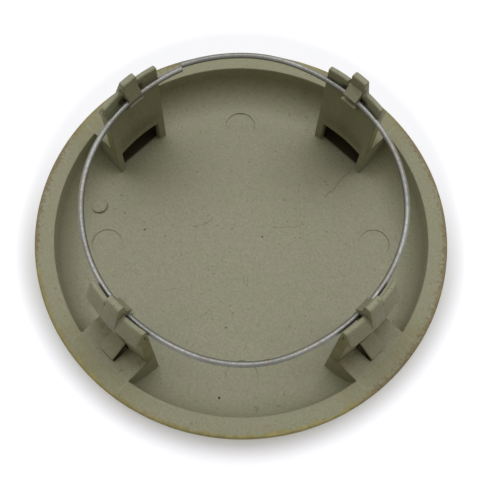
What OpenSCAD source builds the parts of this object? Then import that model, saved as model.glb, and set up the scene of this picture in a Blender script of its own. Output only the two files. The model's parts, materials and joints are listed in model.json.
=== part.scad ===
// Wheel centre cap, seen from its back: one moulding with four clip legs, and the sprung wire
// ring that lies in them. The origin is the centre of the front face, which the cap lies on,
// and +Z runs out of the back. The first leg stands on +X and the others follow it round.

/* [Cap] */
// Diameter over the rim
cap_d = 76; // [74:0.5:84]
// Height from the front face to the flat back of the rim
cap_h = 10.8; // [9.8:0.1:13]
// Width of the rim's flat back, from the dish to the edge
rim_w = 3.6; // [2.8:0.1:4.2]
// Thickness of the face under the dish
face_t = 2.6; // [2:0.1:3.2]
// Radius of the hollow corner between the dish's wall and its floor
dish_r = 6.2; // [4.5:0.1:6.5]
// Draft of the dish's wall: how much wider it is at the rim than above the hollow corner
dish_draft = 0.25; // [0.1:0.05:0.4]
// Height of the straight band round the outside, under the rounded edge
band_h = 0.3; // [0.2:0.1:1.5]
// Rounding of the rim's outer back edge
edge_r = 0.4; // [0.2:0.05:0.8]

/* [Clip legs] */
// Number of clip legs
leg_count = 4; // [3:1:5]
// Width of a leg
leg_w = 12.2; // [11:0.1:13.5]
// Thickness of a leg's inner plate
plate_t = 1.8; // [1.4:0.1:2.2]
// Thickness of the walls at each side of a leg's box
cheek_t = 1.4; // [1:0.1:2]
// Thickness of the shelf between the plate and the rim
shelf_t = 2.1; // [1.4:0.1:2.6]
// Width of the sloping rib that rises from the shelf to the plate
rib_w = 3.3; // [2.8:0.1:4.4]
// Height above the rim at which the rib's sloping foot meets its upright back
rib_h = 3.1; // [2:0.1:4]
// Height of the rib's foot above the rim, and the thickness of its sloping sheet
rib_step = 0.9; // [0.4:0.1:1.5]
// How far the rib stands out behind the plate, above its foot
rib_t = 0.25; // [0.1:0.05:0.5]
// Gap between the rib's foot and the rim's inner edge
rib_back = 1; // [0.5:0.1:1.6]
// Gap between the rib's sides and the opening under it
slot_w = 0.15; // [0.1:0.05:0.4]
// How much of the rib's foot stands on the shelf, behind that opening
foot_t = 0.5; // [0.3:0.05:0.8]

/* [Snap lugs and hooks] */
// Height of the lugs above the wire's seat
lug_h = 3.05; // [2.4:0.05:4]
// Thickness of a lug at its top
lug_top_t = 0.95; // [0.6:0.05:1.2]
// Height of the lug's ramp, from its top to its widest edge
ramp_h = 3.5; // [3:0.1:4.2]
// How far the ramp spreads from its top to its widest edge
ramp_out = 1.65; // [1.2:0.05:2]
// Height of the undercut below the widest edge, which holds the cap in the wheel
undercut_h = 0.9; // [0.5:0.1:1.5]
// Gap between a lug and the hook
lug_gap = 0.5; // [0.3:0.1:0.8]
// Depth of that gap, below the lug's top
gap_h = 0.9; // [0.5:0.1:2]
// Width of the hook
hook_w = 2.9; // [2.4:0.1:3.4]
// Height of the hook above the wire's seat
hook_h = 5.6; // [5:0.1:6.4]
// Thickness of the hook at its top
hook_t = 1.25; // [1:0.05:1.6]
// Bevel of the lugs' and the hook's top edges
tip_cut = 0.25; // [0.1:0.05:0.35]
// How far the hook's nose covers the wire, past the wire's centre
nose_over = 1; // [0.4:0.05:1.2]
// Height of the nose's blunt tip
nose_h = 0.45; // [0.3:0.05:0.8]
// Height of the ramp on the nose, down which the wire is pressed in
nose_ramp = 1.6; // [1:0.1:2.2]
// How far the nose's face lies back above that ramp
nose_back = 1.1; // [0.8:0.05:1.3]
// Width of the ledge under the wire
ledge_w = 3.2; // [2.6:0.1:4]
// How far the ledge reaches in past the wire
ledge_over = 0.7; // [0.3:0.05:1]
// Height of the ledge's tapered bracket
ledge_h = 3; // [2:0.1:4]

/* [Wire ring] */
// Diameter of the wire
wire_d = 1; // [0.8:0.05:1.2]
// Radius of the wire's centreline where it presses against the lugs
wire_r = 27.5; // [26.5:0.05:28.2]
// Height of the wire's centre above the rim
wire_z = 13.9; // [13:0.1:15]
// Clearance round the wire in its seat
wire_gap = 0.05; // [0.03:0.01:0.1]
// How far in from that the ring lies at the first leg
play_1 = 0.25; // [0:0.05:0.5]
// How far in it lies at the second leg
play_2 = 0; // [0:0.05:0.5]
// How far in it lies at the third leg
play_3 = 0.4; // [0:0.05:0.5]
// How far in it lies at the fourth leg
play_4 = 0; // [0:0.05:0.5]
// How far out the ring bows past that radius between the first leg and the second
bow_1 = 0.1; // [-0.4:0.05:1]
// How far out it bows between the second leg and the third, where it is open
bow_2 = 0.6; // [-0.4:0.05:1]
// How far out it bows between the third leg and the fourth
bow_3 = -0.3; // [-0.4:0.05:1]
// How far out it bows between the fourth leg and the first
bow_4 = 0.85; // [-0.4:0.05:1]
// Angle of the opening from the third leg
split_at = 22; // [18:0.5:24]
// Gap between the ring's two ends
split_gap = 0.2; // [0.1:0.05:0.6]
// How far one end springs out past the other
end_out = 0.7; // [0.1:0.05:0.8]

/* [Floor marks] */
// Diameter of an ejector mark
eject_d = 6; // [5:0.1:6.6]
// Depth of an ejector mark
eject_depth = 0.2; // [0.15:0.05:0.5]
// Radius on which the ejector marks lie
eject_r = 25.9; // [22:0.1:26.2]
// Diameter of the moulding's round pip
pip_d = 3.2; // [2.6:0.1:3.8]
// Height of the pip
pip_h = 0.6; // [0.3:0.1:0.8]
// Radius on which the pip lies
pip_r = 29; // [22:0.1:29.4]
// Angle of the pip from +X
pip_at = 209; // [204:1:212]

/* [Hidden] */
$fn = 180;
wire_sides = 12;
arc_steps = 7;
// How far pieces of the moulding run into each other, so that they fuse
bury = 0.4;
// How far a cut runs past what it cuts
past = 1;
// Overlap that joins pieces of the cap's section
join = 0.001;
cap_r = cap_d / 2;
floor_z = face_t;
rim_in = cap_r - rim_w;
wall_foot = rim_in - dish_draft;
shoulder_r = cap_h - edge_r - band_h;
// Radius at which the side walls' lower corner is cut off at 45 degrees, just behind the dish
corner_r = wall_foot - dish_r + (dish_r + bury) * (sqrt(2) - 1);
leg_step = 360 / leg_count;
seat_z = cap_h + wire_z - wire_d / 2 - wire_gap;

// The ring's outline is a chain of arcs that meet without a corner, two in each half quarter.
// Where it runs at radius a at the leg and m in the middle of the quarter, one arc is centred
// on the leg's line, off(a, m) beyond the axis, and the other on the middle's line, as far on
// this side of it.
arc_half = leg_step / 4;
open_leg = 2;
plays = [play_1, play_2, play_3, play_4];
bows = [bow_1, bow_2, bow_3, bow_4];
function at_leg(k) = wire_r - plays[k % leg_count % len(plays)];
function at_mid(k) = wire_r + bows[k % len(bows)];
function off(a, m) = (m - a) / (2 - 2 * cos(arc_half));
function leg_arc_r(a, m) = a + off(a, m);
function mid_arc_r(a, m) = m - off(a, m);
// Radius at which the wire passes the edge of a leg
function at_edge(a, m) = norm([sqrt(leg_arc_r(a, m) ^ 2 - (leg_w / 2) ^ 2) - off(a, m), leg_w / 2]);
edges = [for (k = [0:leg_count - 1]) each [at_edge(at_leg(k), at_mid(k)),
                                           at_edge(at_leg(k + 1), at_mid(k))]];

// The plate, the lugs and the hook's post share one inner face, just outside the wire
plate_in = max(edges) + wire_d / 2 + wire_gap;
plate_out = plate_in + plate_t;
lug_top = seat_z + lug_h;
lug_out = plate_in + lug_top_t;
barb_r = lug_out + ramp_out;
barb_z = lug_top - ramp_h;
gap_z = lug_top - gap_h;
hook_top = seat_z + hook_h;
nose_z = seat_z + wire_d + 2 * wire_gap;
nose_r = wire_r - nose_over;
hook_in = nose_r + nose_back;
hook_out = hook_in + hook_t;
ledge_r = wire_r - wire_d / 2 - ledge_over;
rib_foot = rim_in - rib_back;

// Half-section of the moulding: face, rounded shoulder, rim and dish
module cap_section() {
    difference() {
        union() {
            square([cap_r - shoulder_r, cap_h]);
            intersection() {
                translate([cap_r - shoulder_r, shoulder_r]) circle(r = shoulder_r);
                square([cap_r, shoulder_r]);
            }
            translate([0, shoulder_r]) square([cap_r, band_h]);
            translate([0, cap_h - edge_r - join]) square([cap_r - edge_r, edge_r + join]);
            intersection() {
                translate([cap_r - edge_r, cap_h - edge_r]) circle(r = edge_r);
                square([cap_r, cap_h]);
            }
        }
        polygon([[-past, floor_z + dish_r], [wall_foot, floor_z + dish_r], [rim_in, cap_h],
                 [rim_in, cap_h + past], [-past, cap_h + past]]);
        translate([-past, floor_z]) square([wall_foot - dish_r + past, dish_r + join]);
        intersection() {
            translate([wall_foot - dish_r, floor_z + dish_r]) circle(r = dish_r);
            translate([0, floor_z]) square([wall_foot, dish_r + join]);
        }
    }
}

// A revolved profile cut to a slab across the leg on +X, from one side place to another
module slab(from, to) {
    intersection() {
        rotate_extrude() children();
        translate([bury, from, 0]) cube([cap_d, to - from, cap_d]);
    }
}

// Inner plate of a leg
module plate() {
    slab(-leg_w / 2, leg_w / 2)
        translate([plate_in, floor_z - bury]) square([plate_t, seat_z - floor_z + bury]);
}

// Shelf at the rim's height and the two side walls that carry it. The walls' lower corner is cut
// off, so that it ends inside the cap's shoulder.
module box() {
    slab(-leg_w / 2, leg_w / 2)
        translate([plate_in, cap_h - shelf_t]) square([rim_in + bury - plate_in, shelf_t]);
    for (side = [-1, 1]) {
        mid = side * (leg_w - cheek_t) / 2;
        slab(mid - cheek_t / 2, mid + cheek_t / 2)
            polygon([[plate_in, floor_z - bury], [corner_r, floor_z - bury],
                     [rim_in + bury, floor_z + rim_in - corner_r], [rim_in + bury, cap_h],
                     [plate_in, cap_h]]);
    }
}

// Two snap lugs outside the wire, with one ramp and undercut, and a gap in which the hook stands
module lugs() {
    near = hook_w / 2 + lug_gap;
    difference() {
        slab(-leg_w / 2, leg_w / 2)
            polygon([[plate_in, seat_z - bury], [plate_in, lug_top - tip_cut],
                     [plate_in + tip_cut, lug_top], [lug_out - tip_cut, lug_top],
                     [lug_out, lug_top - tip_cut], [barb_r, barb_z],
                     [plate_out, barb_z - undercut_h],
                     [plate_out - bury, barb_z - undercut_h]]);
        translate([plate_in - past, -near, gap_z])
            cube([barb_r - plate_in + 2 * past, 2 * near, gap_h + past]);
    }
}

// Rib behind the plate: a sloping sheet that rises from the shelf, and an upright back under the
// hook
module rib() {
    slab(-rib_w / 2, rib_w / 2)
        polygon([[plate_out - bury, cap_h - shelf_t], [rib_foot, cap_h - shelf_t],
                 [rib_foot, cap_h + rib_step], [plate_out + rib_t, cap_h + rib_h],
                 [barb_r, barb_z], [plate_out - bury, barb_z]]);
}

// Hook over the wire: a post outside it, with a nose that reaches in over it
module hook() {
    slab(-hook_w / 2, hook_w / 2)
        polygon([[plate_in, seat_z - bury], [plate_in, nose_z], [nose_r, nose_z],
                 [nose_r, nose_z + nose_h], [hook_in, nose_z + nose_h + nose_ramp],
                 [hook_in, hook_top - tip_cut], [hook_in + tip_cut, hook_top],
                 [hook_out - tip_cut, hook_top], [hook_out, hook_top - tip_cut],
                 [barb_r, barb_z], [plate_out - bury, barb_z]]);
}

// Ledge under the wire, on a bracket that tapers back to the plate
module ledge() {
    slab(-ledge_w / 2, ledge_w / 2)
        polygon([[plate_in + bury, seat_z], [ledge_r, seat_z],
                 [plate_in, seat_z - ledge_h], [plate_in + bury, seat_z - ledge_h]]);
}

// One clip leg
module leg() {
    difference() {
        union() {
            plate();
            box();
            lugs();
            rib();
            hook();
            ledge();
        }
        // Window at the plate's foot
        translate([plate_in - leg_w, cheek_t - leg_w / 2, floor_z])
            cube([leg_w + plate_t + past, leg_w - 2 * cheek_t, cap_h - shelf_t - floor_z]);
        // Opening through the shelf under the rib's sheet, which leaves the rib open at both sides
        slab(-rib_w / 2 - slot_w, rib_w / 2 + slot_w)
            polygon([[plate_out, cap_h - shelf_t - past], [rib_foot - foot_t, cap_h - shelf_t - past],
                     [rib_foot - foot_t, cap_h], [plate_out, cap_h + rib_h - rib_step]]);
    }
}

// The cap moulding, all in one piece
module cap_moulding() {
    color([0.55, 0.55, 0.47]) {
        difference() {
            union() {
                rotate_extrude() cap_section();
                translate([pip_r * cos(pip_at), pip_r * sin(pip_at), floor_z - bury])
                    cylinder(h = pip_h + bury, d = pip_d, $fn = 48);
            }
            for (k = [0:leg_count - 1])
                rotate(leg_step * (k + 0.5)) translate([eject_r, 0, floor_z - eject_depth])
                    cylinder(h = cap_h, d = eject_d, $fn = 60);
        }
        for (k = [0:leg_count - 1]) rotate(leg_step * k) leg();
    }
}

// One arc of the ring's centreline: the angle of the line that its centre lies on, how far out
// on that line the centre is, the radius, and the angles from the line where it starts and ends
function arc(toward, out, r, from, to) = [toward, out, r, from, to];

// The two arcs after leg k, as far as the middle of the quarter, and the two before it
function arcs_after(k, a, m) = [
    arc(leg_step * k, -off(a, m), leg_arc_r(a, m), 0, arc_half),
    arc(leg_step * (k + 0.5), off(a, m), mid_arc_r(a, m), -arc_half, 0)];
function arcs_before(k, a, m) = [
    arc(leg_step * (k - 0.5), off(a, m), mid_arc_r(a, m), 0, arc_half),
    arc(leg_step * k, -off(a, m), leg_arc_r(a, m), -arc_half, 0)];

// Angle about the leg's own arc at which the centreline reaches the opening, and its radius
// from the axis there
open_off = off(at_leg(open_leg), at_mid(open_leg - 1));
open_r = leg_arc_r(at_leg(open_leg), at_mid(open_leg - 1));
split_r = sqrt(open_r ^ 2 - (open_off * sin(split_at)) ^ 2) - open_off * cos(split_at);
split_turn = asin(split_r * sin(split_at) / open_r);
gap_turn = split_gap / open_r * 180 / PI;

// The loose end leaves the middle of its quarter on a wider arc, so that it springs out past
// the other end by end_out
loose_m = at_mid(open_leg - 1);
loose_end = (split_r + end_out) * [cos(leg_step / 2 - split_at), sin(leg_step / 2 - split_at)];
loose_r = ((loose_m - loose_end.x) ^ 2 + loose_end.y ^ 2) / (2 * (loose_m - loose_end.x));

// The whole centreline, from the end on the open leg's side round to the loose end
ring_arcs = [
    arc(leg_step * open_leg, -open_off, open_r, gap_turn - split_turn, 0),
    for (k = [open_leg:open_leg + leg_count - 2])
        each concat(arcs_after(k, at_leg(k), at_mid(k)), arcs_before(k + 1, at_leg(k + 1), at_mid(k))),
    each arcs_after(open_leg - 1, at_leg(open_leg - 1), loose_m),
    arc(leg_step * (open_leg - 0.5), loose_m - loose_r, loose_r, 0, asin(loose_end.y / loose_r))];

// Stations along it, each with its place and the angle that points away from its arc's centre
function unit(angle) = [cos(angle), sin(angle)];
function station(c, part) = let (turn = c[0] + c[3] + (c[4] - c[3]) * part)
    [c[1] * unit(c[0]) + c[2] * unit(turn), turn];
stations = concat([for (c = ring_arcs) for (i = [0:arc_steps - 1]) station(c, i / arc_steps)],
                  [station(ring_arcs[len(ring_arcs) - 1], 1)]);

// The sprung ring, round wire swept along the stations
module wire_ring() {
    points = [for (s = stations) for (j = [0:wire_sides - 1])
        let (about = 360 * j / wire_sides, xy = s[0] + wire_d / 2 * cos(about) * unit(s[1]))
        [xy.x, xy.y, cap_h + wire_z + wire_d / 2 * sin(about)]];
    last = (len(stations) - 1) * wire_sides;
    faces = concat(
        [for (i = [0:len(stations) - 2]) for (j = [0:wire_sides - 1])
            let (base = i * wire_sides, next = (j + 1) % wire_sides)
            [base + j, base + next, base + wire_sides + next, base + wire_sides + j]],
        [[for (j = [wire_sides - 1:-1:0]) j]],
        [[for (j = [0:wire_sides - 1]) last + j]]);
    color([0.72, 0.72, 0.72]) polyhedron(points = points, faces = faces, convexity = 4);
}

cap_moulding();
wire_ring();
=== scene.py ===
"""A wheel centre cap that lies on its front face, its clip legs and sprung ring uppermost."""

import json
import math

import bmesh
import bpy
from mathutils import Matrix, Vector


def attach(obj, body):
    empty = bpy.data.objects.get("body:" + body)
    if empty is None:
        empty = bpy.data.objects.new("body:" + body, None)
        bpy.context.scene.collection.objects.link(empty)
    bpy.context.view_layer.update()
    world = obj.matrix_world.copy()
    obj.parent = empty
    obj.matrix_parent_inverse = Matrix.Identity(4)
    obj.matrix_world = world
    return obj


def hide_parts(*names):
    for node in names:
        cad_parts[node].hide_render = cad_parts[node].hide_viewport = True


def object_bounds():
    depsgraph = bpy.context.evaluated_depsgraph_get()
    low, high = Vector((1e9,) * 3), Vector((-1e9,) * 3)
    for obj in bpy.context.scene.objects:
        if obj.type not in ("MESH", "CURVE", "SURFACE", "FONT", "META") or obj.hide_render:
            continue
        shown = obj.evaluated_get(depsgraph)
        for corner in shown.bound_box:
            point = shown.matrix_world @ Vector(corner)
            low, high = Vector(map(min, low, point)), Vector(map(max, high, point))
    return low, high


bl_info = {
    "name": "Wheel Centre Cap",
    "version": (1, 0, 0),
    "blender": (4, 5, 0),
    "location": "3D View > Sidebar > Centre Cap",
    "description": "Builds a snap-in centre cap with its wire ring, and the stage it lies on",
    "category": "Add Mesh",
}

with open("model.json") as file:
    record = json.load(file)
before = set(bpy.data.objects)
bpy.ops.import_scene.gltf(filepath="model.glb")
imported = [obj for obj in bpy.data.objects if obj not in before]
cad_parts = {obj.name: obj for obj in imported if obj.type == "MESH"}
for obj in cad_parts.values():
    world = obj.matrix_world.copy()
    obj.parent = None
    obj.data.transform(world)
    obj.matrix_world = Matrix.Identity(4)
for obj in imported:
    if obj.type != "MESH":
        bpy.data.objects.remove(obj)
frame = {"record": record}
CAD_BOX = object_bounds()
MM = 0.001
RIM_Z = next(m["pos_m"][2] for m in frame["record"]["mounts"] if m["name"] == "rim_seat")
LEGS = 4
ROUND_AXIS = {"cent": (0, 0, 0), "axis": (0, 0, 1)}
# Facets round the moulding
ROUND_STEPS = 288
# How far to each side a leg's pieces are spun before they are cut, and in how many facets
SPREAD = math.radians(18)
SPREAD_STEPS = 24
# Facets round the wire, and the angle of one step along it
WIRE_SIDES = 20
WIRE_STEP = math.radians(1.5)
# The leg that the ring's opening lies before
OPEN_LEG = 2
# Distances within which points are one, in a drawn shape and a combined one, or lie on a cut
MERGE = 1e-7
SLIVER = 2e-6
ON_CUT = 1e-6
# How deep pieces reach into each other, and how far a cutter reaches past what it cuts
BURY = 0.4 * MM
PAST = 1 * MM


def length(name, description, millimetres):
    """A size, shown in the scene's length unit."""
    return bpy.props.FloatProperty(
        name=name,
        description=description,
        default=millimetres * MM,
        unit="LENGTH",
        precision=5,
    )


def lengths(name, description, *millimetres):
    """A size for each leg in turn."""
    return bpy.props.FloatVectorProperty(
        name=name,
        description=description,
        default=[value * MM for value in millimetres],
        size=LEGS,
        unit="LENGTH",
        precision=5,
    )


def angle(name, description, degrees):
    """An angle about the cap's axis."""
    return bpy.props.FloatProperty(
        name=name, description=description, default=math.radians(degrees), subtype="ANGLE"
    )


def colour(name, description, value):
    """A surface colour, in linear light."""
    return bpy.props.FloatVectorProperty(
        name=name,
        description=description,
        default=value,
        subtype="COLOR",
        size=3,
        min=0,
        max=1,
    )


class CapSizes(bpy.types.PropertyGroup):
    """Sizes of the moulding."""

    rim_w: length("Rim width", "Width of the rim's flat back", 3.6)
    face_t: length("Face thickness", "Thickness of the face under the dish", 2.6)
    dish_r: length("Dish corner", "Radius of the dish's hollow corner", 6.2)
    dish_draft: length("Dish draft", "How much wider the dish is at the rim", 0.25)
    band_h: length("Band height", "Height of the straight band round the outside", 0.3)
    edge_r: length("Rim rounding", "Rounding of the rim's outer back edge", 0.4)
    inner_r: length("Dish edge", "Rounding of the rim's inner edge", 0.18)
    leg_w: length("Leg width", "Width of a clip leg", 12.2)
    plate_t: length("Plate thickness", "Thickness of a leg's inner plate", 1.8)
    cheek_t: length("Side wall", "Thickness of a leg's side walls", 1.4)
    shelf_t: length("Shelf thickness", "Thickness of a leg's shelf", 2.1)
    rib_w: length("Rib width", "Width of the rib that rises from the shelf", 3.3)
    rib_h: length("Rib height", "Height at which the rib's slope meets its upright back", 3.1)
    rib_step: length("Rib sheet", "Thickness of the rib's sloping sheet", 0.9)
    rib_t: length("Rib thickness", "How far the rib stands out behind the plate", 0.25)
    rib_back: length("Rib setback", "Gap between the rib's foot and the rim's inner edge", 1.0)
    slot_w: length("Slot width", "Gap between the rib's sides and the opening under it", 0.15)
    foot_t: length("Rib foot", "How much of the rib's foot stands on the shelf", 0.5)
    lug_h: length("Lug height", "Height of the lugs above the wire's seat", 3.05)
    lug_top_t: length("Lug top", "Thickness of a lug at its top", 0.95)
    ramp_h: length("Ramp height", "Height of a lug's ramp", 3.5)
    ramp_out: length("Ramp spread", "How far a lug's ramp spreads", 1.65)
    undercut_h: length("Undercut", "Height of a lug's undercut", 0.9)
    lug_gap: length("Lug gap", "Gap between a lug and the hook", 0.5)
    gap_h: length("Gap depth", "Depth of that gap, below the lug's top", 0.9)
    hook_w: length("Hook width", "Width of the hook", 2.9)
    hook_h: length("Hook height", "Height of the hook above the wire's seat", 5.6)
    hook_t: length("Hook thickness", "Thickness of the hook at its top", 1.25)
    tip_cut: length("Tip bevel", "Bevel of the lugs' and the hook's top edges", 0.25)
    nose_over: length("Nose reach", "How far the hook's nose covers the wire", 1.0)
    nose_h: length("Nose tip", "Height of the nose's blunt tip", 0.45)
    nose_ramp: length("Nose ramp", "Height of the ramp on the nose", 1.6)
    nose_back: length("Nose setback", "How far the nose's face lies back above its ramp", 1.1)
    ledge_w: length("Ledge width", "Width of the ledge under the wire", 3.2)
    ledge_over: length("Ledge reach", "How far the ledge reaches in past the wire", 0.7)
    ledge_h: length("Bracket height", "Height of the ledge's tapered bracket", 3.0)
    eject_d: length("Ejector mark", "Diameter of an ejector mark", 6.0)
    eject_depth: length("Ejector depth", "Depth of an ejector mark", 0.2)
    eject_r: length("Ejector circle", "Radius on which the ejector marks lie", 25.9)
    pip_d: length("Pip", "Diameter of the round pip", 3.2)
    pip_h: length("Pip height", "Height of the pip", 0.6)
    pip_r: length("Pip circle", "Radius on which the pip lies", 29.0)
    pip_at: angle("Pip angle", "Angle of the pip from the first leg", 209)
    soft_edge: length("Moulded edges", "Rounding of the legs' edges", 0.16)


class WireSizes(bpy.types.PropertyGroup):
    """Sizes of the sprung wire ring."""

    wire_d: length("Wire", "Diameter of the wire", 1.0)
    wire_r: length("Ring radius", "Radius of the ring where it presses on the lugs", 27.5)
    wire_z: length("Ring height", "Height of the wire's centre above the rim", 13.9)
    wire_gap: length("Clearance", "Clearance round the wire in its seat", 0.05)
    plays: lengths("Play", "How far in the ring lies at each leg", 0.25, 0, 0.4, 0)
    bows: lengths("Bow", "How far out the ring bows after each leg", 0.1, 0.6, -0.3, 0.85)
    split_at: angle("Opening", "Angle of the opening from the third leg", 22)
    split_gap: length("Opening gap", "Gap between the ring's two ends", 0.2)
    end_out: length("Loose end", "How far one end springs out past the other", 0.7)


class Finishes(bpy.types.PropertyGroup):
    """Colours of the surfaces."""

    plastic: colour("Plastic", "Grey-olive moulded plastic", (0.262, 0.257, 0.182))
    green: colour("Green stain", "Where the plastic has gone greenish", (0.246, 0.257, 0.168))
    warm: colour("Warm stain", "Where handling has left it brownish", (0.276, 0.256, 0.19))
    pale: colour("Pale lines", "Polished witness lines of the mould", (0.36, 0.36, 0.29))
    # This colour also serves as painted shade on the dish's far wall, at the legs' feet and on the
    # shelves beside the plates; elsewhere it darkens real specks, marks and scratches.
    grime_and_shade: colour("Grime", "Dirt in corners, pits and scratches", (0.13, 0.118, 0.055))
    # Black painted shade: it fills the legs' boxes, the openings under the ribs' sheets and the
    # plates' inner faces just over the wire, where only shade falls.
    painted_shade: colour("Packed grime", "Grime packed inside the legs' boxes", (0.022, 0.019, 0.01))
    # Olive also serves as painted shade on the legs' flanks, the yellow tint that shade takes
    # there; it also darkens the rim's inner part beside the legs.
    olive: colour("Olive stain", "Yellowish stain on the legs' flanks", (0.2, 0.185, 0.07))
    ochre: colour("Ochre", "Primer that shows along the worn edge", (0.235, 0.213, 0.08))
    brown: colour("Brown", "Brown scuffs along the edge", (0.165, 0.12, 0.07))
    yellow: colour("Yellow", "Yellowed lacquer along the edge", (0.35, 0.287, 0.1))
    paint: colour("Paint", "Silver paint on the face and the shoulder", (0.5, 0.49, 0.43))
    paint_aged: colour("Aged paint", "The same paint where it has yellowed", (0.42, 0.38, 0.25))
    steel: colour("Steel", "Clean stretches of the wire", (0.2, 0.2, 0.185))
    steel_dark: colour("Dark steel", "Oxidised stretches of the wire", (0.11, 0.11, 0.1))
    rust: colour("Rust", "Brown stains on the wire", (0.15, 0.11, 0.07))


class StageSettings(bpy.types.PropertyGroup):
    """The light round the cap."""

    key: bpy.props.FloatProperty(
        name="Key light",
        description="Power of the large soft light behind the cap",
        default=10.2,
        subtype="POWER",
    )
    fill: bpy.props.FloatProperty(
        name="Fill light",
        description="Strength of the even light from all sides",
        default=0.26,
    )


# Shapes


def arc(centre, radius, start, end, steps):
    """Points on an arc in the (radius, height) plane, its angles in degrees."""
    turns = [math.radians(start + (end - start) * i / steps) for i in range(steps + 1)]
    return [
        (centre[0] + radius * math.cos(t), centre[1] + radius * math.sin(t)) for t in turns
    ]


def tidy(bm):
    """Merges a shape's doubled points and turns its faces outwards."""
    bmesh.ops.remove_doubles(bm, verts=bm.verts, dist=MERGE)
    bmesh.ops.recalc_face_normals(bm, faces=bm.faces)


def to_object(bm, name):
    """The bmesh as an object at the origin."""
    mesh = bpy.data.meshes.new(name)
    bm.to_mesh(mesh)
    bm.free()
    made = bpy.data.objects.new(name, mesh)
    bpy.context.scene.collection.objects.link(made)
    return made


def outline(bm, profile, closed):
    """The profile's vertices and edges in the XZ plane."""
    verts = [bm.verts.new((r, 0, z)) for r, z in profile]
    pairs = list(zip(verts, verts[1:] + verts[:1] if closed else verts[1:]))
    return verts + [bm.edges.new(pair) for pair in pairs]


def rectangle(inner, low, outer, high):
    """A profile between two radii and two heights."""
    return [(inner, low), (outer, low), (outer, high), (inner, high)]


def tip(inner, outer, top, cut):
    """The end of a profile, with both of its corners bevelled."""
    return [(inner, top - cut), (inner + cut, top), (outer - cut, top), (outer, top - cut)]


def revolved(profile, name):
    """A solid of revolution from an open profile that starts and ends on the axis."""
    bm = bmesh.new()
    geom = outline(bm, profile, False)
    bmesh.ops.spin(bm, geom=geom, angle=math.tau, steps=ROUND_STEPS, use_merge=True, **ROUND_AXIS)
    tidy(bm)
    return to_object(bm, name)


def slab(profile, low, high):
    """A revolved profile cut to a slab across the leg on +X, from y = low to y = high."""
    bm = bmesh.new()
    geom = outline(bm, profile, True)
    verts = [g for g in geom if isinstance(g, bmesh.types.BMVert)]
    bmesh.ops.rotate(bm, verts=verts, cent=(0, 0, 0), matrix=Matrix.Rotation(-SPREAD, 3, "Z"))
    bmesh.ops.spin(bm, geom=geom, angle=2 * SPREAD, steps=SPREAD_STEPS, **ROUND_AXIS)
    for place, out in ((low, -1), (high, 1)):
        bmesh.ops.bisect_plane(
            bm,
            geom=bm.verts[:] + bm.edges[:] + bm.faces[:],
            dist=MERGE,
            plane_co=(0, place, 0),
            plane_no=(0, out, 0),
            clear_outer=True,
        )
        ends = [e for e in bm.edges if all(abs(v.co.y - place) < ON_CUT for v in e.verts)]
        bmesh.ops.edgeloop_fill(bm, edges=ends)
    tidy(bm)
    return to_object(bm, "slab")


def block(low, high):
    """A box between two corners."""
    bm = bmesh.new()
    size = Vector(high) - Vector(low)
    middle = (Vector(high) + Vector(low)) / 2
    bmesh.ops.create_cube(
        bm, size=1, matrix=Matrix.Translation(middle) @ Matrix.Diagonal((*size, 1))
    )
    return to_object(bm, "block")


def drum(middle, low, high, radius, segments=64):
    """An upright cylinder round a point."""
    bm = bmesh.new()
    place = Matrix.Translation((*middle, (low + high) / 2))
    bmesh.ops.create_cone(
        bm,
        cap_ends=True,
        segments=segments,
        radius1=radius,
        radius2=radius,
        depth=high - low,
        matrix=place,
    )
    return to_object(bm, "drum")


def on_circle(radius, angle):
    """The point at an angle on a circle round the cap's axis."""
    return radius * math.cos(angle), radius * math.sin(angle)


def combine(base, tools, how):
    """Joins the tools to the base, or cuts them from it, and removes them."""
    for tool in tools:
        step = base.modifiers.new("shape", "BOOLEAN")
        step.operation = how
        step.solver = "MANIFOLD"
        step.object = tool
    graph = bpy.context.evaluated_depsgraph_get()
    mesh = bpy.data.meshes.new_from_object(base.evaluated_get(graph))
    base.modifiers.clear()
    base.data = mesh
    for tool in tools:
        bpy.data.objects.remove(tool)
    if not len(mesh.polygons):
        raise RuntimeError(f"{base.name}: nothing is left of the shape")
    return base


def clean(made):
    """Merges a combined shape's slivers and the flat faces that lie side by side."""
    bm = bmesh.new()
    bm.from_mesh(made.data)
    bmesh.ops.remove_doubles(bm, verts=bm.verts, dist=SLIVER)
    bmesh.ops.dissolve_limit(bm, angle_limit=math.radians(0.2), verts=bm.verts, edges=bm.edges)
    bm.to_mesh(made.data)
    bm.free()


def soften(made, width):
    """Rounds every edge that turns sharply."""
    bm = bmesh.new()
    bm.from_mesh(made.data)
    sharp = [e for e in bm.edges if e.is_manifold and e.calc_face_angle() > math.radians(38)]
    bmesh.ops.bevel(
        bm,
        geom=sharp,
        offset=width,
        segments=2,
        profile=0.5,
        affect="EDGES",
        material=-1,
        loop_slide=True,
    )
    bm.to_mesh(made.data)
    bm.free()


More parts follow.
